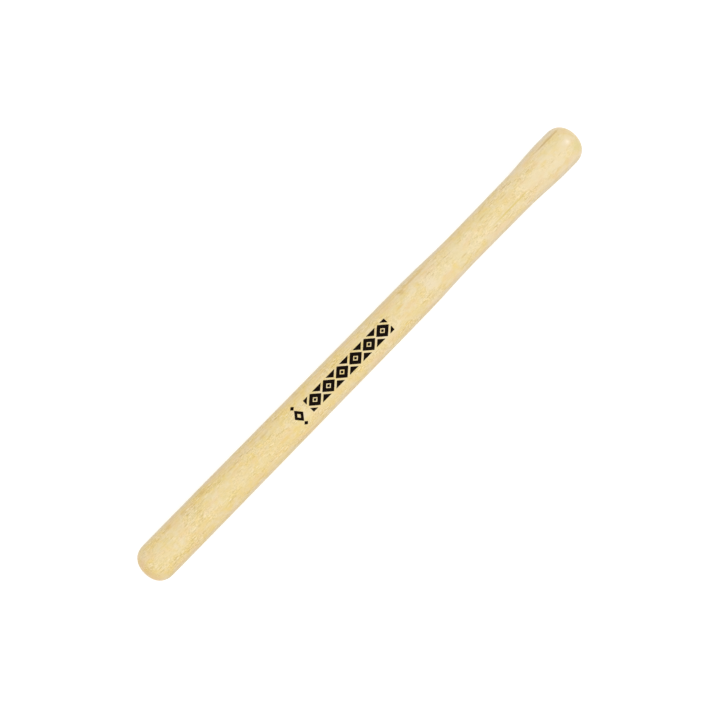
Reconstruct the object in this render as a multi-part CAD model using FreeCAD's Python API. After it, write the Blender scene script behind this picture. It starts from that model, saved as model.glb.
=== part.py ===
# A one-piece turned hardwood drumstick of the stout kind that plays cowbells and hand drums.
#
# The stick is turned from one round blank. From the striking tip it has a domed end, a barrel that
# keeps the blank's diameter, a long straight taper too slight to see at a glance, a shoulder that
# falls to the waist, a slim grip that widens slowly, a flare back up to the blank's diameter, a
# short land and a domed butt. Nothing is joined to it, so it is one solid, turned from one outline.
#
# Frame: the stick lies on the ground. +X runs along its axis towards the striking tip, +Z is up,
# and the origin is on the ground under the middle of its length. Lengths are in millimetres.

import FreeCAD, Part
import os

# Driving dimensions: the blank and the whole stick
overall_length = 300.0
stock_diameter = 20.6

# Striking end: the dome, and the barrel with the dome in its length
striking_dome_depth = 9.0
barrel_length = 30.0

# Shoulder: where the long taper ends and the shaft falls to the waist
shoulder_diameter = 19.6
shoulder_length = 36.0

# Grip: slim at the waist, a little wider where the flare starts
waist_diameter = 17.8
grip_diameter = 18.2
grip_length = 35.5

# Butt end: the flare, the land at the blank's diameter, and the dome
flare_length = 26.0
land_length = 6.0
butt_dome_depth = 9.2

# Worked out from the driving dimensions
stock_radius = stock_diameter / 2
shoulder_radius = shoulder_diameter / 2
waist_radius = waist_diameter / 2
grip_radius = grip_diameter / 2
axis_height = stock_radius
tip_x = overall_length / 2
butt_x = -overall_length / 2

# Stations along the axis, each where one stretch of the outline meets the next
dome_x = tip_x - striking_dome_depth
taper_x = tip_x - barrel_length
land_end_x = butt_x + butt_dome_depth
land_x = land_end_x + land_length
flare_x = land_x + flare_length
waist_x = flare_x + grip_length
shoulder_x = waist_x + shoulder_length

# Slope of each stretch, as rise of the radius towards the striking tip
level = 0.0
taper_slope = (stock_radius - shoulder_radius) / (taper_x - shoulder_x)
grip_slope = (waist_radius - grip_radius) / (waist_x - flare_x)

# The share of a stretch over which each end of its curve keeps its slope
handle_share = 1 / 3

# A dome's curve has three poles, at its rim, its corner and its tip. How hard each one pulls, as a
# share of an end's pull: the corner pulls harder than in an ellipse, so the dome is full at its
# shoulder and nearly flat at its tip
dome_pull_shares = [1, 0.86, 1]


def at(x, radius):
    """The point of the outline at station x, radius above the stick's axis."""
    return FreeCAD.Vector(x, 0, axis_height + radius)


def straight(start_x, start_radius, end_x, end_radius):
    """A straight stretch of the outline."""
    return Part.LineSegment(at(start_x, start_radius), at(end_x, end_radius)).toShape()


def eased(start_x, start_radius, start_slope, end_x, end_radius, end_slope):
    """A stretch that leaves one radius at its slope and reaches the next at its own."""
    handle = (end_x - start_x) * handle_share
    curve = Part.BezierCurve()
    curve.setPoles(
        [
            at(start_x, start_radius),
            at(start_x + handle, start_radius + start_slope * handle),
            at(end_x - handle, end_radius - end_slope * handle),
            at(end_x, end_radius),
        ]
    )
    return curve.toShape()


def dome(rim_x, end_x):
    """A full dome that curves from the blank's diameter at rim_x to the axis at end_x."""
    curve = Part.BezierCurve()
    curve.setPoles([at(rim_x, stock_radius), at(end_x, stock_radius), at(end_x, 0)])
    for pole, pull in enumerate(dome_pull_shares, start=1):
        curve.setWeight(pole, pull)
    return curve.toShape()


def outline():
    """Half of the stick's lengthwise section, closed along its axis, from the butt to the tip."""
    edges = [
        dome(land_end_x, butt_x),
        straight(land_end_x, stock_radius, land_x, stock_radius),
        eased(land_x, stock_radius, level, flare_x, grip_radius, grip_slope),
        straight(flare_x, grip_radius, waist_x, waist_radius),
        eased(waist_x, waist_radius, grip_slope, shoulder_x, shoulder_radius, taper_slope),
        straight(shoulder_x, shoulder_radius, taper_x, stock_radius),
        straight(taper_x, stock_radius, dome_x, stock_radius),
        dome(dome_x, tip_x),
        straight(tip_x, 0, butt_x, 0),
    ]
    return Part.Wire(Part.__sortEdges__(edges))


def stick():
    """The whole stick, turned once round its axis."""
    section = Part.Face(outline())
    return section.revolve(at(0, 0), FreeCAD.Vector(1, 0, 0), 360)


def main():
    os.makedirs("parts", exist_ok=True)
    body = stick()
    print("valid", body.isValid(), "solids", len(body.Solids), "volume", round(body.Volume, 1))
    body.exportStep("parts/stick.step")


main()
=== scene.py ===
# A one-piece turned wooden drumstick, finished with a clear satin lacquer and a printed band.
#
# Lengths are in metres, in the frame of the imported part: the stick lies on the ground, +X runs along
# its axis towards the striking tip, and +Z is up. Materials and their patterns are laid out in
# millimetres, from the middle of the stick's axis.

import math

import bmesh
import bpy
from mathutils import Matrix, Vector


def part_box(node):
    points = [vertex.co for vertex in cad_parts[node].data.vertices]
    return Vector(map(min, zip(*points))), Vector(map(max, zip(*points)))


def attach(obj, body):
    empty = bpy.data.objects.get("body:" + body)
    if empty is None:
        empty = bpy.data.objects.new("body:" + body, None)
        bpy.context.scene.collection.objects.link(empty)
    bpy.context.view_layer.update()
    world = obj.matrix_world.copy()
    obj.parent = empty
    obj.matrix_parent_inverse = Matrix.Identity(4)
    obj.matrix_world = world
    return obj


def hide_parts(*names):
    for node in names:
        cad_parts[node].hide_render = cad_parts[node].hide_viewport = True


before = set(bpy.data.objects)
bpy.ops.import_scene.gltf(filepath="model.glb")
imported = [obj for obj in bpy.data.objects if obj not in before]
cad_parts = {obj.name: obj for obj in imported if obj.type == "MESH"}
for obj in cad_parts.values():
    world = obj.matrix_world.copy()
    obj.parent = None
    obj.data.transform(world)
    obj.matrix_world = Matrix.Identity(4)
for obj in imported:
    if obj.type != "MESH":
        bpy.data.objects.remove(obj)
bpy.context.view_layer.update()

mm = 0.001

# The stick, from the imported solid's box and the sizes of its outline
stick_low, stick_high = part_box("stick")
tip_x = stick_high.x
butt_x = stick_low.x
stock_radius = (stick_high.z - stick_low.z) / 2
axis_height = stick_low.z + stock_radius
striking_dome_depth = 9.0 * mm
barrel_length = 30.0 * mm
shoulder_radius = 19.6 / 2 * mm
shoulder_length = 36.0 * mm
waist_radius = 17.8 / 2 * mm
grip_radius = 18.2 / 2 * mm
grip_length = 35.5 * mm
flare_length = 26.0 * mm
land_length = 6.0 * mm
butt_dome_depth = 9.2 * mm

# How hard the corner pole of a dome's curve pulls, as a share of an end's pull
corner_pull_share = 0.86

# Stations along the axis, where one stretch of the outline meets the next
dome_x = tip_x - striking_dome_depth
taper_x = tip_x - barrel_length
land_end_x = butt_x + butt_dome_depth
land_x = land_end_x + land_length
flare_x = land_x + flare_length
waist_x = flare_x + grip_length
shoulder_x = waist_x + shoulder_length
taper_slope = (stock_radius - shoulder_radius) / (taper_x - shoulder_x)
grip_slope = (waist_radius - grip_radius) / (waist_x - flare_x)

# The mesh: points on each dome's curve, spacing of the rings between the domes, and points round
dome_points = 40
ring_spacing = 0.75 * mm
points_round = 128

# A turned blank dries slightly oval, and its sanded surface is never quite straight. Each wave of
# the sanding has its length along the stick, its start in radians, and its turns round the stick
oval_share = 0.0022
oval_start = 0.6
hand_sanding = 0.022 * mm
sanding_waves = [(23.0 * mm, 0.4, 1), (41.0 * mm, 2.1, 2), (67.0 * mm, 4.0, 3)]

# The flat map that the stick's material can be baked onto: the export looks for one of this name.
# The grip half lies under the striking half, and the shares are of the map's own width and height
map_name = "OFBake"
map_margin_share = 0.01
map_length_share = 0.98
map_half_share = 0.48
map_upper_share = 0.51

# The ink: how far it stands proud and reaches in, the length of its steps, the rounding of its
# corners with the steps in each, and the fewest loops from an edge to its middle
print_lift = 0.02 * mm
print_sink = 0.06 * mm
print_step = 0.35 * mm
corner_round = 0.22 * mm
corner_steps = 4
fewest_loops = 2

# The printed band: a tall mark first, then a row of lozenges with a triangle above and below each gap
band_start_x = 35.5 * mm
band_end_x = -20.4 * mm
band_height = 7.7 * mm
lozenge_count = 6
lozenge_length_share = 0.93
lozenge_hole_share = 0.38
dot_share = 0.22
triangle_base_share = 0.66
triangle_height_share = 0.36
tall_mark_x = 41.9 * mm
tall_mark_height = 12.6 * mm
tall_lozenge_share = 0.56
tall_length_share = 0.8
tall_hole_share = 0.36
end_lozenge_share = 0.2


def eased(x, start_x, start_radius, start_slope, end_x, end_radius, end_slope):
    """The radius at x on a stretch that leaves and reaches its ends at the slopes given."""
    span = end_x - start_x
    way = (x - start_x) / span
    left = 1 - way
    near_start = start_radius * left * left * (1 + 2 * way) + start_slope * span * way * left * left
    near_end = end_radius * way * way * (1 + 2 * left) - end_slope * span * way * way * left
    return near_start + near_end


def shaft_radius(x):
    """The stick's radius at x, anywhere between its two domes."""
    if x > taper_x:
        return stock_radius
    if x > shoulder_x:
        return shoulder_radius + taper_slope * (x - shoulder_x)
    if x > waist_x:
        return eased(x, waist_x, waist_radius, grip_slope, shoulder_x, shoulder_radius, taper_slope)
    if x > flare_x:
        return grip_radius + grip_slope * (x - flare_x)
    if x > land_x:
        return eased(x, land_x, stock_radius, 0.0, flare_x, grip_radius, grip_slope)
    return stock_radius


def dome_point(way, rim_x, end_x):
    """The point of a dome's curve at way, from 0 at its rim to 1 at its tip."""
    rim = (1 - way) ** 2
    corner = 2 * corner_pull_share * way * (1 - way)
    tip = way**2
    whole = rim + corner + tip
    return (rim * rim_x + (corner + tip) * end_x) / whole, (rim + corner) * stock_radius / whole


def outline():
    """Stations and radii from the butt's tip to the striking tip, without the tips themselves."""
    ways = [step / dome_points for step in range(1, dome_points)]
    stations = [dome_point(way, land_end_x, butt_x) for way in reversed(ways)]
    halves = [(land_end_x, 0.0), (0.0, dome_x)]
    for start, end in halves:
        count = round((end - start) / ring_spacing)
        for step in range(count + 1):
            x = start + (end - start) * step / count
            if stations[-1][0] < x:
                stations.append((x, shaft_radius(x)))
    return stations + [dome_point(way, dome_x, tip_x) for way in ways]


def surface_point(x, radius, angle, lift=0.0):
    """The point at station x, at an angle round the axis counted from the top towards +Y."""
    oval = 1 + oval_share * math.cos(2 * angle + oval_start)
    sanded = sum(
        math.sin(2 * math.pi * x / length + start + turns * angle)
        for length, start, turns in sanding_waves
    )
    full = radius * oval + hand_sanding * sanded / len(sanding_waves) * radius / stock_radius + lift
    return Vector((x, full * math.sin(angle), axis_height + full * math.cos(angle)))


def new_object(name, body, material):
    """A shown piece with one material from a bmesh, which is freed."""
    mesh = bpy.data.meshes.new(name)
    body.to_mesh(mesh)
    body.free()
    mesh.materials.append(material)
    piece = bpy.data.objects.new(name, mesh)
    bpy.context.scene.collection.objects.link(piece)
    return piece


def turned_stick(material):
    """The stick as rings of points along its outline, closed at both tips."""
    stations = outline()
    body = bmesh.new()
    uv = body.loops.layers.uv.new(map_name)
    seam = math.pi
    angles = [seam + 2 * math.pi * step / points_round for step in range(points_round)]
    rings = [[body.verts.new(surface_point(x, r, a)) for a in angles] for x, r in stations]
    butt = body.verts.new((butt_x, 0.0, axis_height))
    tip = body.verts.new((tip_x, 0.0, axis_height))

    # Distance along the outline, so that the domes get their share of the map
    path = [(butt_x, 0.0)] + stations + [(tip_x, 0.0)]
    along = [0.0]
    for (x0, r0), (x1, r1) in zip(path, path[1:]):
        along.append(along[-1] + math.hypot(x1 - x0, r1 - r0))
    middle = min(range(len(stations)), key=lambda i: abs(stations[i][0]))
    split = along[middle + 1]

    def place(distance, round_share, grip_half):
        """The map's point for a distance along the outline and a share of the way round."""
        start, end = (0.0, split) if grip_half else (split, along[-1])
        low = map_margin_share if grip_half else map_upper_share
        way = map_length_share * (distance - start) / (end - start)
        return (map_margin_share + way, low + map_half_share * round_share)

    def face(corners, places):
        made = body.faces.new(corners)
        made.smooth = True
        for loop, where in zip(made.loops, places):
            loop[uv].uv = where

    for i in range(points_round):
        j = (i + 1) % points_round
        low = i / points_round
        high = (i + 1) / points_round
        centre = (low + high) / 2
        face(
            [butt, rings[0][i], rings[0][j]],
            [place(0.0, centre, True), place(along[1], low, True), place(along[1], high, True)],
        )
        for k in range(len(rings) - 1):
            grip_half = k < middle
            start, end = along[k + 1], along[k + 2]
            face(
                [rings[k][i], rings[k + 1][i], rings[k + 1][j], rings[k][j]],
                [
                    place(start, low, grip_half),
                    place(end, low, grip_half),
                    place(end, high, grip_half),
                    place(start, high, grip_half),
                ],
            )
        face(
            [tip, rings[-1][j], rings[-1][i]],
            [
                place(along[-1], centre, False),
                place(along[-2], high, False),
                place(along[-2], low, False),
            ],
        )
    bmesh.ops.recalc_face_normals(body, faces=body.faces)
    return new_object("turned_stick", body, material)


def rounded(corners, radius):
    """A closed outline through the corners, each one rounded, in steps short enough to bend."""
    points = []
    count = len(corners)
    for i in range(count):
        before, here, after = (Vector(corners[(i + k) % count]) for k in (-1, 0, 1))
        cut_in = here + (before - here).normalized() * radius
        cut_out = here + (after - here).normalized() * radius
        for step in range(corner_steps + 1):
            way = step / corner_steps
            points.append(cut_in * (1 - way) ** 2 + here * 2 * way * (1 - way) + cut_out * way**2)
        next_in = after + (here - after).normalized() * radius
        steps = max(int((next_in - cut_out).length / print_step), 1)
        for step in range(1, steps):
            points.append(cut_out.lerp(next_in, step / steps))
    return points


def print_shape(body, corners, hole_share=0.0):
    """Adds one shape of ink that follows the stick's surface, hollow in its middle if it has a hole."""
    edge = rounded(corners, corner_round)
    middle = sum(edge, Vector((0.0, 0.0))) / len(edge)
    reach = max((p - middle).length for p in edge)
    loops = max(int(reach * (1 - hole_share) / print_step), fewest_loops)
    shares = [1 - (1 - hole_share) * step / loops for step in range(loops + 1)]

    def vertex(point, lift):
        radius = shaft_radius(point.x)
        return body.verts.new(surface_point(point.x, radius, point.y / radius, lift))

    def layer(lift):
        kept = shares if hole_share else shares[:-1]
        made = [[vertex(middle.lerp(p, share), lift) for p in edge] for share in kept]
        return made, None if hole_share else vertex(middle, lift)

    upper, upper_middle = layer(print_lift)
    lower, lower_middle = layer(-print_sink)
    count = len(edge)
    for i in range(count):
        j = (i + 1) % count
        for loops_of, centre in ((upper, upper_middle), (lower, lower_middle)):
            for outer, inner in zip(loops_of, loops_of[1:]):
                body.faces.new([outer[i], outer[j], inner[j], inner[i]])
            if centre:
                body.faces.new([loops_of[-1][i], loops_of[-1][j], centre])
        body.faces.new([upper[0][i], upper[0][j], lower[0][j], lower[0][i]])
        if hole_share:
            body.faces.new([upper[-1][i], upper[-1][j], lower[-1][j], lower[-1][i]])


def lozenge(x, across, half_length, half_height):
    """The corners of a lozenge centred at x along the stick and across from its top line."""
    return [
        (x + half_length, across),
        (x, across + half_height),
        (x - half_length, across),
        (x, across - half_height),
    ]


def printed_band(material):
    """The ornament: a tall mark of three lozenges, then a row of hollow lozenges and triangles."""
    body = bmesh.new()
    half = band_height / 2
    pitch = (band_start_x - band_end_x) / lozenge_count
    half_length = pitch / 2 * lozenge_length_share
    for step in range(lozenge_count):
        x = band_start_x - pitch * (step + 0.5)
        print_shape(body, lozenge(x, 0.0, half_length, half), lozenge_hole_share)
        print_shape(body, lozenge(x, 0.0, half_length * dot_share, half * dot_share))

    # The first and last gaps are open on one side, so their triangles are halves
    base = pitch / 2 * triangle_base_share
    for step in range(lozenge_count + 1):
        x = band_start_x - pitch * step
        start = x if step == 0 else x + base
        end = x if step == lozenge_count else x - base
        for side in (-1, 1):
            apex = side * (half - band_height * triangle_height_share)
            print_shape(body, [(end, side * half), (start, side * half), (x, apex)])

    tall_half = tall_mark_height / 2 * tall_lozenge_share
    end_half = tall_mark_height / 2 * end_lozenge_share
    tall = lozenge(tall_mark_x, 0.0, tall_half * tall_length_share, tall_half)
    print_shape(body, tall, tall_hole_share)
    for side in (-1, 1):
        across = side * (tall_mark_height / 2 - end_half)
        print_shape(body, lozenge(tall_mark_x, across, end_half, end_half))
    bmesh.ops.recalc_face_normals(body, faces=body.faces)
    return new_object("printed_band", body, material)


def srgb(red, green, blue):
    """A screen's colour in the linear values that shaders take, by the curve of the sRGB standard."""
    linear = []
    for value in (red, green, blue):
        share = value / 255
        linear.append(share / 12.92 if share <= 0.04045 else ((share + 0.055) / 1.055) ** 2.4)
    return (*linear, 1.0)


# Colours of the wood under its clear lacquer, and of the ink
straw = srgb(242, 220, 164)
cream = srgb(243, 225, 184)
honey = srgb(243, 217, 144)
rosy = srgb(244, 211, 166)
leafy = srgb(233, 216, 148)
late_wood = srgb(222, 190, 108)
flank_gold = srgb(226, 197, 134)
pore_brown = srgb(190, 162, 98)
light_fleck = srgb(255, 236, 192)
ink_black = srgb(16, 7, 3)
worn_ink = srgb(52, 34, 20)

# Tones, which the wood's own colour is multiplied by. The near side faces +Y and the far side -Y
dark_tone = (0.902, 0.896, 0.835, 1.0)
light_tone = (1.075, 1.078, 1.125, 1.0)
dash_tone = (0.87, 0.82, 0.68, 1.0)
flush_tone = (1.03, 1.0, 1.0, 1.0)
# Painted shade: the outermost sides deeper and cooler in tone, partly the wood's own tone
near_side_shade = (0.897, 0.918, 0.985, 1.0)
far_side_shade = (0.94, 0.985, 1.15, 1.0)
end_grain_tone = srgb(250, 222, 188)

# Gloss and relief of the surfaces
surface_ior = 1.5
wood_gloss = 0.15
lacquer_weight = 0.5
lacquer_roughness = 0.22
cut_roughness = 0.2
ink_gloss = 0.05
relief = 0.02 * mm

# Soft patterns: the size of each one's features in millimetres, along the grain and across it both
# ways, how many rounds of finer detail it has, and the seed that places it
patterns = {
    "wander": ((80.0, 30.0, 30.0), 1.0, 3.0),
    "growth": ((110.0, 9.0, 9.0), 1.0, 7.0),
    "cloud": ((40.0, 9.0, 9.0), 1.0, 17.0),
    "patch": ((10.0, 6.0, 6.0), 1.0, 37.0),
    "mottle": ((3.6, 3.3, 3.3), 1.0, 41.0),
    "hue": ((9.0, 5.0, 5.0), 1.0, 47.0),
    "cluster": ((13.0, 5.0, 5.0), 1.0, 59.0),
    "speckle": ((0.85, 0.52, 0.52), 2.0, 19.0),
    "fibre": ((12.0, 0.6, 0.6), 2.0, 13.0),
    "long_fibre": ((70.0, 1.2, 1.2), 2.0, 11.0),
    "ink_fibre": ((12.0, 0.6, 0.6), 3.0, 31.0),
}

# A pattern's seed moves it by these shares along, across and up
seed_shares = (1.0, 0.37, 0.71)

# Cut vessels: the length along the grain and the width across it of the cell that holds each one,
# in millimetres, a vessel's size as a share of its cell, and the seed that places them
vessels = {
    "dash": (6.5, 1.2, 0.24, 53.0),
    "fleck": (4.5, 1.2, 0.24, 61.0),
    "thick": (6.0, 1.1, 0.17, 23.0),
    "thin": (2.6, 0.6, 0.18, 29.0),
}

# A vessel's soft edge starts and ends at these shares of its size
vessel_edge_shares = (0.8, 1.2)

# The grain strays from the stick's axis: how far it wanders sideways in millimetres, and how much it
# climbs across and up for each millimetre along
wander_reach = 0.9
climb_across = 0.004
climb_up = 0.02

# Growth layers, in millimetres: where the tree's heart lay beside the stick, and one year's growth.
# Then by how many years the layers stray from even rounds
heart_place = (0.0, -16.0, -46.0)
year_growth = 1.6
uneven_years = 1.6

# The middle of the calm stretch by the waist, in millimetres along the stick
calm_x = -65.0

# Soft steps of a value: up to its first number each one gives its third, from its second on its
# fourth, and it changes softly between them
soft_steps = {
    # Along the stick, in millimetres from its middle towards the striking tip. The calm stretch by
    # the waist is counted both ways from calm_x
    "pale_butt": (-120.0, 40.0, 0.08, 0.0),
    "faint_tip": (105.0, 130.0, 1.0, 0.4),
    "sunny_length": (-70.0, 30.0, 0.03, 0.22),
    "flank_length": (-115.0, -60.0, 0.2, 1.0),
    "calm_tip": (130.0, 142.0, 1.0, 0.75),
    "calm_butt": (-134.0, -112.0, 0.45, 1.0),
    "calm_waist": (7.0, 19.0, 0.6, 1.0),
    # Across the stick, in millimetres from its axis towards +Y
    "sunny_start": (2.0, 4.5, 0.0, 1.0),
    "sunny_end": (6.5, 8.5, 1.0, 0.0),
    "flank": (-8.5, -4.0, 1.0, 0.0),
    # How far the surface faces sideways or endways
    "flushed": (0.44, 0.78, 0.0, 1.0),
    # Where the outermost sides get their painted shade
    "near_side": (0.8, 0.94, 0.0, 1.0),
    "far_side": (-0.94, -0.8, 1.0, 0.0),
    "tip_end": (0.35, 1.05, 0.0, 0.5),
    "butt_end": (-0.8, -0.2, 0.12, 0.0),
    # Levels of the patterns, of one year's growth and of a streak
    "straw": (0.38, 0.5, 0.0, 1.0),
    "cream": (0.5, 0.62, 0.0, 1.0),
    "rosy": (0.52, 0.68, 0.0, 0.4),
    "leafy": (0.32, 0.46, 0.25, 0.0),
    "busy": (0.4, 0.6, 0.25, 1.0),
    "light": (0.38, 0.62, 0.0, 1.0),
    "late_rise": (0.25, 0.9, 0.0, 1.0),
    "late_fall": (0.93, 1.0, 1.0, 0.0),
    "streak": (0.75, 1.6, 1.0, 0.0),
    "wood_roughness": (0.3, 0.7, 0.4, 0.5),
    "ink_roughness": (0.3, 0.7, 0.55, 0.7),
    "worn_ink": (0.62, 0.8, 0.0, 0.5),
}

# How much each pattern counts for the wood's paleness, and for its fine light and dark
paleness_shares = {"mottle": 0.5, "patch": 0.3, "cloud": 0.2}
tone_shares = {"speckle": 0.75, "fibre": 0.15, "long_fibre": 0.1}

# How strongly the wood shows each of its features
flank_gold_share = 0.1
late_share = 0.08
late_on_flank_share = 0.2
busy_honey_share = 0.25
fleck_share = 0.8
thick_share = 0.3
thick_on_flank_share = 0.3
thin_share = 0.3
fibre_height_share = 0.25
ragged_end_share = 0.3

# A streak's frayed edge, in millimetres along and across and in rounds of detail, and how many of its
# widths it reaches down into the wood
streak_fray = (6.0, 0.6, 0.6)
streak_detail = 2.0
streak_depth = 2.0

streak_colours = {
    "brown": srgb(196, 156, 86),
    "golden": srgb(218, 182, 104),
    "yellow": srgb(227, 202, 118),
    "honey": srgb(236, 202, 122),
    "cream": cream,
    # pale is a paler patch of wood on the grip, and a painted highlight on the butt dome
    "pale": srgb(244, 227, 193),
    "leafy": leafy,
}

# Streaks that the turned surface shows, and a painted highlight on the butt dome, each one over those
# before it:
# place along the stick and across it as seen from above, length and width in millimetres, and how
# strong it is
streaks = [
    ("brown", -137.5, -7.55, 23.0, 1.5, 0.5),
    ("brown", -107.0, -6.7, 7.0, 0.9, 0.3),
    ("brown", -102.5, -3.9, 6.0, 0.9, 0.3),
    ("yellow", -100.5, 2.8, 36.0, 1.3, 0.8),
    ("yellow", -96.0, 1.0, 9.0, 1.2, 0.25),
    ("yellow", -104.5, 1.6, 8.0, 1.8, 0.35),
    ("cream", -104.0, 4.4, 14.0, 1.2, 0.5),
    ("brown", -88.5, -3.9, 7.0, 0.9, 0.3),
    ("brown", -69.5, 2.8, 5.0, 0.9, 0.3),
    ("brown", -64.0, -3.2, 6.0, 0.8, 0.25),
    ("golden", -44.0, -7.4, 24.0, 1.5, 0.5),
    ("golden", -35.5, -6.2, 5.0, 2.4, 0.45),
    ("brown", 61.5, -5.6, 9.0, 1.0, 0.3),
    ("brown", 79.5, -5.9, 6.0, 1.0, 0.3),
    ("golden", 84.0, -5.6, 5.0, 1.0, 0.4),
    ("golden", 101.5, -7.6, 7.0, 2.6, 0.4),
    ("brown", 107.5, -3.9, 5.0, 1.0, 0.25),
    ("golden", 115.0, -7.2, 5.0, 2.4, 0.35),
    ("golden", 125.0, -7.4, 5.0, 2.2, 0.45),
    ("golden", 93.0, 5.3, 8.0, 1.4, 0.3),
    ("honey", -30.0, -1.9, 7.0, 1.6, 0.6),
    ("honey", 54.0, 3.3, 18.0, 2.6, 0.45),
    ("honey", 114.0, 3.8, 24.0, 4.0, 0.3),
    ("honey", 75.5, -0.6, 6.0, 2.2, 0.2),
    ("honey", 67.0, -0.3, 6.0, 4.0, 0.4),
    ("honey", 101.5, 4.0, 9.0, 4.0, 0.35),
    ("honey", -30.5, 3.4, 8.0, 3.0, 0.35),
    ("leafy", -146.2, 5.0, 8.0, 8.0, 0.8),
    # Painted highlight on the butt dome, partly paler wood: these two patches
    ("cream", -142.0, -0.4, 12.0, 7.0, 0.8),
    ("pale", -143.0, -0.3, 6.0, 4.5, 0.8),
    ("pale", -48.5, 0.3, 8.0, 10.0, 0.6),
    ("cream", -48.5, 5.2, 9.0, 3.5, 0.4),
    ("cream", -87.5, 5.0, 9.0, 3.0, 0.4),
    ("cream", -117.0, 1.0, 14.0, 8.0, 0.55),
    ("cream", -91.0, 0.8, 14.0, 7.0, 0.4),
    ("honey", -104.5, -0.8, 10.0, 5.0, 0.35),
    ("cream", 82.0, 0.9, 26.0, 8.0, 0.35),
    ("cream", 135.0, -5.0, 9.0, 5.0, 0.4),
    ("cream", 137.0, 0.0, 10.0, 9.0, 0.35),
]


class Tree:
    """Short ways to add nodes to one node tree. A value may be a plain one or another node's output."""

    def __init__(self, owner):
        owner.use_nodes = True
        self.nodes = owner.node_tree.nodes
        self.links = owner.node_tree.links
        self.nodes.clear()

    def feed(self, socket, value):
        """Links the socket to another node's output, or sets it to a plain value."""
        if isinstance(value, bpy.types.NodeSocket):
            self.links.new(value, socket)
        else:
            socket.default_value = value

    def add(self, kind, inputs=(), **settings):
        """A new node with its settings and inputs."""
        node = self.nodes.new(kind)
        for name, value in settings.items():
            setattr(node, name, value)
        for name, value in dict(inputs).items():
            self.feed(node.inputs[name], value)
        return node

    def math(self, operation, first, second=0.0):
        """One operation on plain numbers."""
        return self.add("ShaderNodeMath", {0: first, 1: second}, operation=operation).outputs[0]

    def product(self, first, *others):
        """The numbers multiplied in turn."""
        for other in others:
            first = self.math("MULTIPLY", first, other)
        return first

    def blend(self, values, shares):
        """The sum of the values named in shares, each one times its share."""
        weighed = [self.product(values[name], share) for name, share in shares.items()]
        whole = weighed[0]
        for value in weighed[1:]:
            whole = self.math("ADD", whole, value)
        return whole

    def vector(self, operation, first, second):
        """One operation on vectors."""
        return self.add("ShaderNodeVectorMath", {0: first, 1: second}, operation=operation).outputs[0]

    def length(self, first):
        """The length of a vector."""
        return self.add("ShaderNodeVectorMath", {0: first}, operation="LENGTH").outputs["Value"]

    def parts(self, vector):
        """The X, Y and Z of a vector."""
        return self.add("ShaderNodeSeparateXYZ", {0: vector}).outputs

    def joined(self, **axes):
        """A vector from its X, Y and Z, where one left out is zero."""
        return self.add("ShaderNodeCombineXYZ", axes).outputs[0]

    def noise(self, place, size, detail, seed):
        """Smooth noise whose features have this size in millimetres, along, across and up."""
        spread = self.vector("MULTIPLY", place, tuple(1 / part for part in size))
        moved = self.vector("ADD", spread, tuple(seed * share for share in seed_shares))
        inputs = {"Vector": moved, "Scale": 1.0, "Detail": detail}
        return self.add("ShaderNodeTexNoise", inputs, noise_dimensions="3D").outputs[0]

    def pattern(self, name, place):
        """One of the soft patterns."""
        return self.noise(place, *patterns[name])

    def ramp(self, value, low, high, to_low, to_high):
        """A soft change from to_low, where the value is low, to to_high, where it is high."""
        inputs = {"Value": value, 1: low, 2: high, 3: to_low, 4: to_high}
        return self.add("ShaderNodeMapRange", inputs, interpolation_type="SMOOTHSTEP").outputs[0]

    def step(self, name, value):
        """One of the soft steps."""
        return self.ramp(value, *soft_steps[name])

    def mix(self, share, first, second, blend="MIX"):
        """The first colour with a share of the second over it."""
        node = self.add("ShaderNodeMix", data_type="RGBA", blend_type=blend)
        sockets = {s.identifier: s for s in node.inputs}
        self.feed(sockets["Factor_Float"], share)
        self.feed(sockets["A_Color"], first)
        self.feed(sockets["B_Color"], second)
        return next(s for s in node.outputs if s.identifier == "Result_Color")

    def tint(self, share, colour, tone):
        """The colour multiplied by the tone, as far as share says."""
        return self.mix(share, colour, self.mix(1.0, colour, tone, "MULTIPLY"))

    def surface(self, colour, roughness, height, gloss):
        """Ends the tree in a surface of this colour, roughness, relief and gloss."""
        bump = self.add("ShaderNodeBump", {"Distance": relief, "Height": height})
        inputs = {"Base Color": colour, "Roughness": roughness, "Normal": bump.outputs[0]}
        shader = self.add("ShaderNodeBsdfPrincipled", inputs)
        shader.inputs["IOR"].default_value = surface_ior
        shader.inputs["Specular IOR Level"].default_value = gloss
        self.add("ShaderNodeOutputMaterial", {"Surface": shader.outputs[0]})
        return shader


def grain_place(tree):
    """Places in millimetres from the stick's axis, as the object has them, with the grain's drift."""
    where = tree.add("ShaderNodeTexCoord").outputs["Object"]
    centred = tree.vector("SUBTRACT", where, (0.0, 0.0, axis_height))
    plain = tree.vector("DIVIDE", centred, (mm, mm, mm))
    sway = tree.joined(Y=tree.product(tree.pattern("wander", plain), wander_reach))
    along = tree.parts(plain)["X"]
    climb = tree.joined(Y=tree.product(along, climb_across), Z=tree.product(along, climb_up))
    return plain, tree.vector("ADD", tree.vector("ADD", plain, sway), climb)


class Wood:
    """The places, facings and patterns that the layers of the wood's colour share."""

    def __init__(self, tree):
        self.plain, self.grain = grain_place(tree)
        placed = tree.parts(self.plain)
        self.along = placed["X"]
        self.across = placed["Y"]
        self.facing = tree.parts(tree.add("ShaderNodeTexCoord").outputs["Normal"])
        used = ("cloud", "patch", "mottle", "speckle", "fibre", "long_fibre")
        self.levels = {name: tree.pattern(name, self.grain) for name in used}

        # What tells the two sides apart is fainter towards the striking tip
        self.faint_tip = tree.step("faint_tip", self.along)
        self.flank = tree.product(
            tree.step("flank", self.across), tree.step("flank_length", self.along), self.faint_tip
        )

        # Where the cut vessels gather, with calmer wood at both ends and by the waist
        from_calm = tree.math("ABSOLUTE", tree.math("SUBTRACT", self.along, calm_x))
        self.busy = tree.product(
            tree.step("busy", tree.pattern("cluster", self.grain)),
            tree.step("calm_tip", self.along),
            tree.step("calm_butt", self.along),
            tree.step("calm_waist", from_calm),
        )


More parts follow.
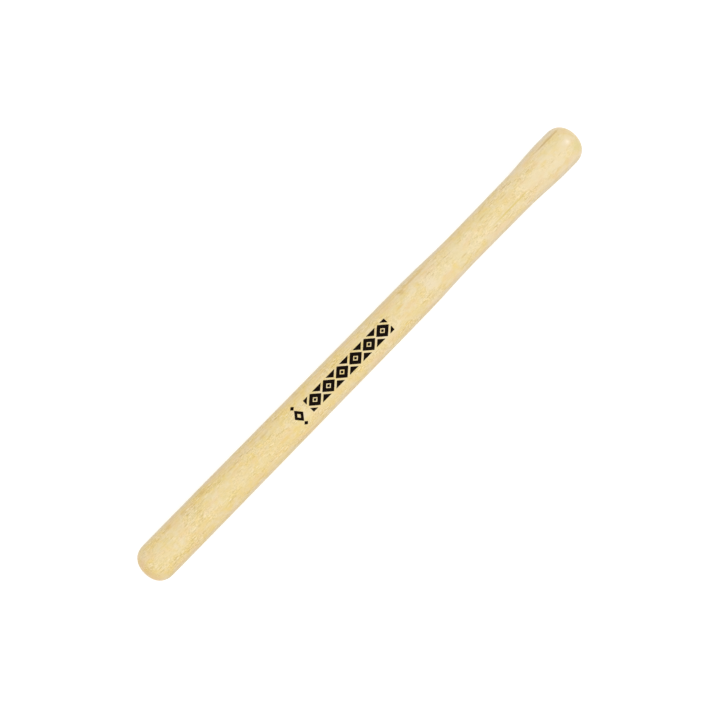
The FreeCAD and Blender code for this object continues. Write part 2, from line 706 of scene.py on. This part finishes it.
def soft_patches(tree, wood):
    """Yellow and cream wood in small soft patches, paler towards the butt."""
    paleness = tree.blend(wood.levels, paleness_shares)
    paleness = tree.math("ADD", paleness, tree.step("pale_butt", wood.along))
    colour = tree.mix(tree.step("straw", paleness), honey, straw)
    colour = tree.mix(tree.step("cream", paleness), colour, cream)
    hue = tree.pattern("hue", wood.grain)
    colour = tree.mix(tree.step("rosy", hue), colour, rosy)
    return tree.mix(tree.step("leafy", hue), colour, leafy)


def growth_layers(tree, wood):
    """From 0 in the pale wood of spring to 1 at the end of each year's growth."""
    from_heart = tree.vector("SUBTRACT", wood.grain, heart_place)
    flat = tree.vector("MULTIPLY", from_heart, (0.0, 1.0, 1.0))
    years = tree.math("DIVIDE", tree.length(flat), year_growth)
    uneven = tree.product(tree.pattern("growth", wood.grain), uneven_years)
    share = tree.math("FRACT", tree.math("ADD", years, uneven))
    return tree.product(tree.step("late_rise", share), tree.step("late_fall", share))


def long_sides(tree, wood, colour):
    """A honey stripe on the +Y half, and gold with stronger growth layers on the other flank."""
    sunny = tree.product(
        tree.step("sunny_start", wood.across),
        tree.step("sunny_end", wood.across),
        tree.step("sunny_length", wood.along),
        wood.faint_tip,
    )
    colour = tree.mix(sunny, colour, honey)
    colour = tree.mix(tree.product(wood.flank, flank_gold_share), colour, flank_gold)
    strength = tree.math("ADD", tree.product(wood.flank, late_on_flank_share), late_share)
    return tree.mix(tree.product(growth_layers(tree, wood), strength), colour, late_wood)


def sides_and_painted_rim_shade(tree, wood, colour):
    """The two sides of the blank, a little warmer, and deeper and cooler where they are outermost,
    which is painted shade, partly the wood's own tone.
    """
    sideways = wood.facing["Y"]
    colour = tree.tint(tree.step("flushed", tree.math("ABSOLUTE", sideways)), colour, flush_tone)
    # Painted shade on the outermost sides, partly the wood's own tone
    colour = tree.tint(tree.step("near_side", sideways), colour, near_side_shade)
    return tree.tint(tree.step("far_side", sideways), colour, far_side_shade)


def cut_vessels(tree, wood, name):
    """From 0 to 1 in cut vessels, which are dashes on the shaft and dots on the domes."""
    length, width, size_share, seed = vessels[name]
    spread = tree.vector("MULTIPLY", wood.grain, (1 / length, 1 / width, 1 / width))
    inputs = {"Vector": tree.vector("ADD", spread, (seed, seed, seed)), "Scale": 1.0}
    cells = tree.add("ShaderNodeTexVoronoi", inputs, voronoi_dimensions="3D", feature="F1")
    low, high = (size_share * share for share in vessel_edge_shares)
    return tree.ramp(cells.outputs["Distance"], low, high, 1.0, 0.0)


def fine_grain(tree, wood, colour):
    """Golden wood where the vessels gather, then fibres and short flecks, lighter and darker."""
    colour = tree.mix(tree.product(wood.busy, busy_honey_share), colour, honey)
    tone = tree.blend(wood.levels, tone_shares)
    shade = tree.mix(tree.step("light", tone), dark_tone, light_tone)
    colour = tree.tint(wood.busy, colour, shade)
    dash = tree.product(cut_vessels(tree, wood, "dash"), wood.busy)
    colour = tree.tint(dash, colour, dash_tone)
    fleck = tree.product(cut_vessels(tree, wood, "fleck"), tree.product(wood.busy, fleck_share))
    return tree.mix(fleck, colour, light_fleck)


def streak(tree, wood, x, across, length, width):
    """From 0 to 1 within one soft streak of the stick's upper side."""
    radius = shaft_radius(x * mm) / mm
    height = math.sqrt(radius**2 - across**2)
    off = tree.vector("SUBTRACT", wood.plain, (x, across, height))
    shape = (2 / length, 2 / width, 1 / (width * streak_depth))
    frayed = tree.noise(wood.plain, streak_fray, streak_detail, x)
    reach = tree.length(tree.vector("MULTIPLY", off, shape))
    return tree.step("streak", tree.math("ADD", reach, frayed))


def all_streaks(tree, wood, colour):
    """Every single streak of the list, in its order."""
    for kind, x, across, length, width, strength in streaks:
        share = tree.product(streak(tree, wood, x, across, length, width), strength)
        colour = tree.mix(share, colour, streak_colours[kind])
    return colour


def deep_cuts(tree, wood):
    """How strongly the deeper cut vessels show, which is more on the gold flank than elsewhere."""
    thick_strength = tree.math("ADD", tree.product(wood.flank, thick_on_flank_share), thick_share)
    thick = tree.product(cut_vessels(tree, wood, "thick"), thick_strength)
    thin = tree.product(cut_vessels(tree, wood, "thin"), thin_share)
    return tree.math("MAXIMUM", thick, thin)


def end_grain(tree, wood, colour):
    """End grain on the domes drinks more finish, so it is deeper in colour."""
    ragged = tree.product(wood.levels["mottle"], ragged_end_share)
    endways = tree.math("ADD", wood.facing["X"], ragged)
    share = tree.math("ADD", tree.step("tip_end", endways), tree.step("butt_end", endways))
    return tree.tint(share, colour, end_grain_tone)


def wood_material():
    """Pale straw hardwood, cut along its grain on the shaft and across it on the domes."""
    material = bpy.data.materials.new("satin_wood")
    tree = Tree(material)
    wood = Wood(tree)
    colour = soft_patches(tree, wood)
    colour = long_sides(tree, wood, colour)
    colour = sides_and_painted_rim_shade(tree, wood, colour)
    colour = fine_grain(tree, wood, colour)
    colour = all_streaks(tree, wood, colour)
    cut = deep_cuts(tree, wood)
    colour = tree.mix(tree.product(cut, wood.busy), colour, pore_brown)
    colour = end_grain(tree, wood, colour)

    # Fibres stand up a little and vessels are cut in. Long fibres and cuts change how sharply it shines
    fibre_height = tree.product(wood.levels["fibre"], fibre_height_share)
    height = tree.math("SUBTRACT", fibre_height, cut)
    satin = tree.step("wood_roughness", wood.levels["long_fibre"])
    roughness = tree.math("ADD", satin, tree.product(cut, cut_roughness))
    shader = tree.surface(colour, roughness, height, wood_gloss)
    shader.inputs["Coat Weight"].default_value = lacquer_weight
    shader.inputs["Coat Roughness"].default_value = lacquer_roughness
    return material


def ink_material():
    """Brown-black ink, thin enough that the wood's fibres show in it as a slight streak."""
    material = bpy.data.materials.new("printed_ink")
    tree = Tree(material)
    plain, grain = grain_place(tree)
    fibre = tree.pattern("ink_fibre", grain)
    colour = tree.mix(tree.step("worn_ink", fibre), ink_black, worn_ink)
    tree.surface(colour, tree.step("ink_roughness", fibre), fibre, ink_gloss)
    return material


# The studio: a white floor just under the stick, whose glow the camera and reflections see, and an
# even white surround, which gives less light than it shows
floor_size = 8.0
floor_gap = 0.06 * mm
floor_white = 0.77
floor_glow = 0.5
floor_reflection = 0.3
white = (1.0, 1.0, 1.0, 1.0)
surround_level = 0.7
background_level = 1.0

# Three soft square lamps at one distance: heading from +X towards +Y and height above the floor in
# degrees, size in metres and power in watts
lamp_distance = 1.6
lamps = {
    "butt_lamp": (180.0, 47.0, 0.4, 4.3),
    "tip_lamp": (0.0, 50.0, 1.2, 3.6),
    "side_lamp": (90.0, 50.0, 1.0, 2.0),
}

# The camera: its lens and sensor in millimetres. Then, from the photograph, how many pixels long the
# stick is, the pixel of its middle, and how far its axis leans from level
camera_lens = 100.0
camera_sensor = 36.0
picture_pixels = 720
stick_length = 300.0 * mm
stick_pixels = 614.07
pixel_size = stick_length / stick_pixels
middle_pixel = (359.7, 353.98)
axis_angle = math.radians(45.62)


def floor():
    """A wide white floor that keeps the stick's shadow and can't be seen from below."""
    body = bmesh.new()
    half = floor_size / 2
    corners = [(-half, -half), (half, -half), (half, half), (-half, half)]
    body.faces.new([body.verts.new((x, y, -floor_gap)) for x, y in corners])
    material = bpy.data.materials.new("studio_floor")
    tree = Tree(material)
    path = tree.add("ShaderNodeLightPath").outputs
    reflected = tree.math("MAXIMUM", path["Is Glossy Ray"], path["Is Transmission Ray"])
    glow_seen = tree.product(path["Is Camera Ray"], floor_glow)
    glow_reflected = tree.product(reflected, floor_reflection)
    paint = (floor_white, floor_white, floor_white, 1.0)
    matte = tree.add("ShaderNodeBsdfDiffuse", {"Color": paint})
    glow = tree.add("ShaderNodeEmission", {"Strength": tree.math("ADD", glow_seen, glow_reflected)})
    lit = tree.add("ShaderNodeAddShader", {0: matte.outputs[0], 1: glow.outputs[0]})
    clear = tree.add("ShaderNodeBsdfTransparent")
    under = tree.add("ShaderNodeNewGeometry").outputs["Backfacing"]
    both = tree.add("ShaderNodeMixShader", {0: under, 1: lit.outputs[0], 2: clear.outputs[0]})
    tree.add("ShaderNodeOutputMaterial", {"Surface": both.outputs[0]})
    piece = new_object("studio_floor", body, material)


def surround():
    """Even white light from all round, which the camera and reflections see as plain white."""
    world = bpy.data.worlds.new("studio")
    tree = Tree(world)
    path = tree.add("ShaderNodeLightPath").outputs
    seen = tree.math("MAXIMUM", path["Is Camera Ray"], path["Is Glossy Ray"])
    seen = tree.math("MAXIMUM", seen, path["Is Transmission Ray"])
    level = tree.ramp(seen, 0.0, 1.0, surround_level, background_level)
    light = tree.add("ShaderNodeBackground", {"Color": white, "Strength": level})
    tree.add("ShaderNodeOutputWorld", {"Surface": light.outputs[0]})
    bpy.context.scene.world = world


def lamp(name, heading, elevation, size, power):
    """A square soft lamp that faces the stick. heading turns from +X towards +Y."""
    data = bpy.data.lights.new(name, "AREA")
    data.shape = "SQUARE"
    data.size = size
    data.energy = power
    piece = bpy.data.objects.new(name, data)
    bpy.context.scene.collection.objects.link(piece)
    way = Vector(
        (
            math.cos(heading) * math.cos(elevation),
            math.sin(heading) * math.cos(elevation),
            math.sin(elevation),
        )
    )
    piece.location = way * lamp_distance
    piece.rotation_euler = way.to_track_quat("Z", "Y").to_euler()


def camera():
    """Straight above the stick, turned so that the striking tip points to the lower left."""
    data = bpy.data.cameras.new("camera")
    data.lens = camera_lens
    data.sensor_width = camera_sensor
    piece = bpy.data.objects.new("camera", data)
    bpy.context.scene.collection.objects.link(piece)
    turn = math.pi - axis_angle
    right = Vector((math.cos(turn), math.sin(turn), 0.0))
    up = Vector((-right.y, right.x, 0.0))
    distance = picture_pixels * pixel_size * camera_lens / camera_sensor
    off_right = (picture_pixels / 2 - middle_pixel[0]) * pixel_size
    off_up = (middle_pixel[1] - picture_pixels / 2) * pixel_size
    piece.location = right * off_right + up * off_up + Vector((0.0, 0.0, axis_height + distance))
    piece.rotation_euler = (0.0, 0.0, turn)
    bpy.context.scene.camera = piece


stick = turned_stick(wood_material())
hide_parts("stick")
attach(stick, "root")
band = printed_band(ink_material())
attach(band, "root")

floor()
surround()
for name, (heading, elevation, size, power) in lamps.items():
    lamp(name, math.radians(heading), math.radians(elevation), size, power)
camera()
bpy.context.scene.view_settings.view_transform = "Standard"
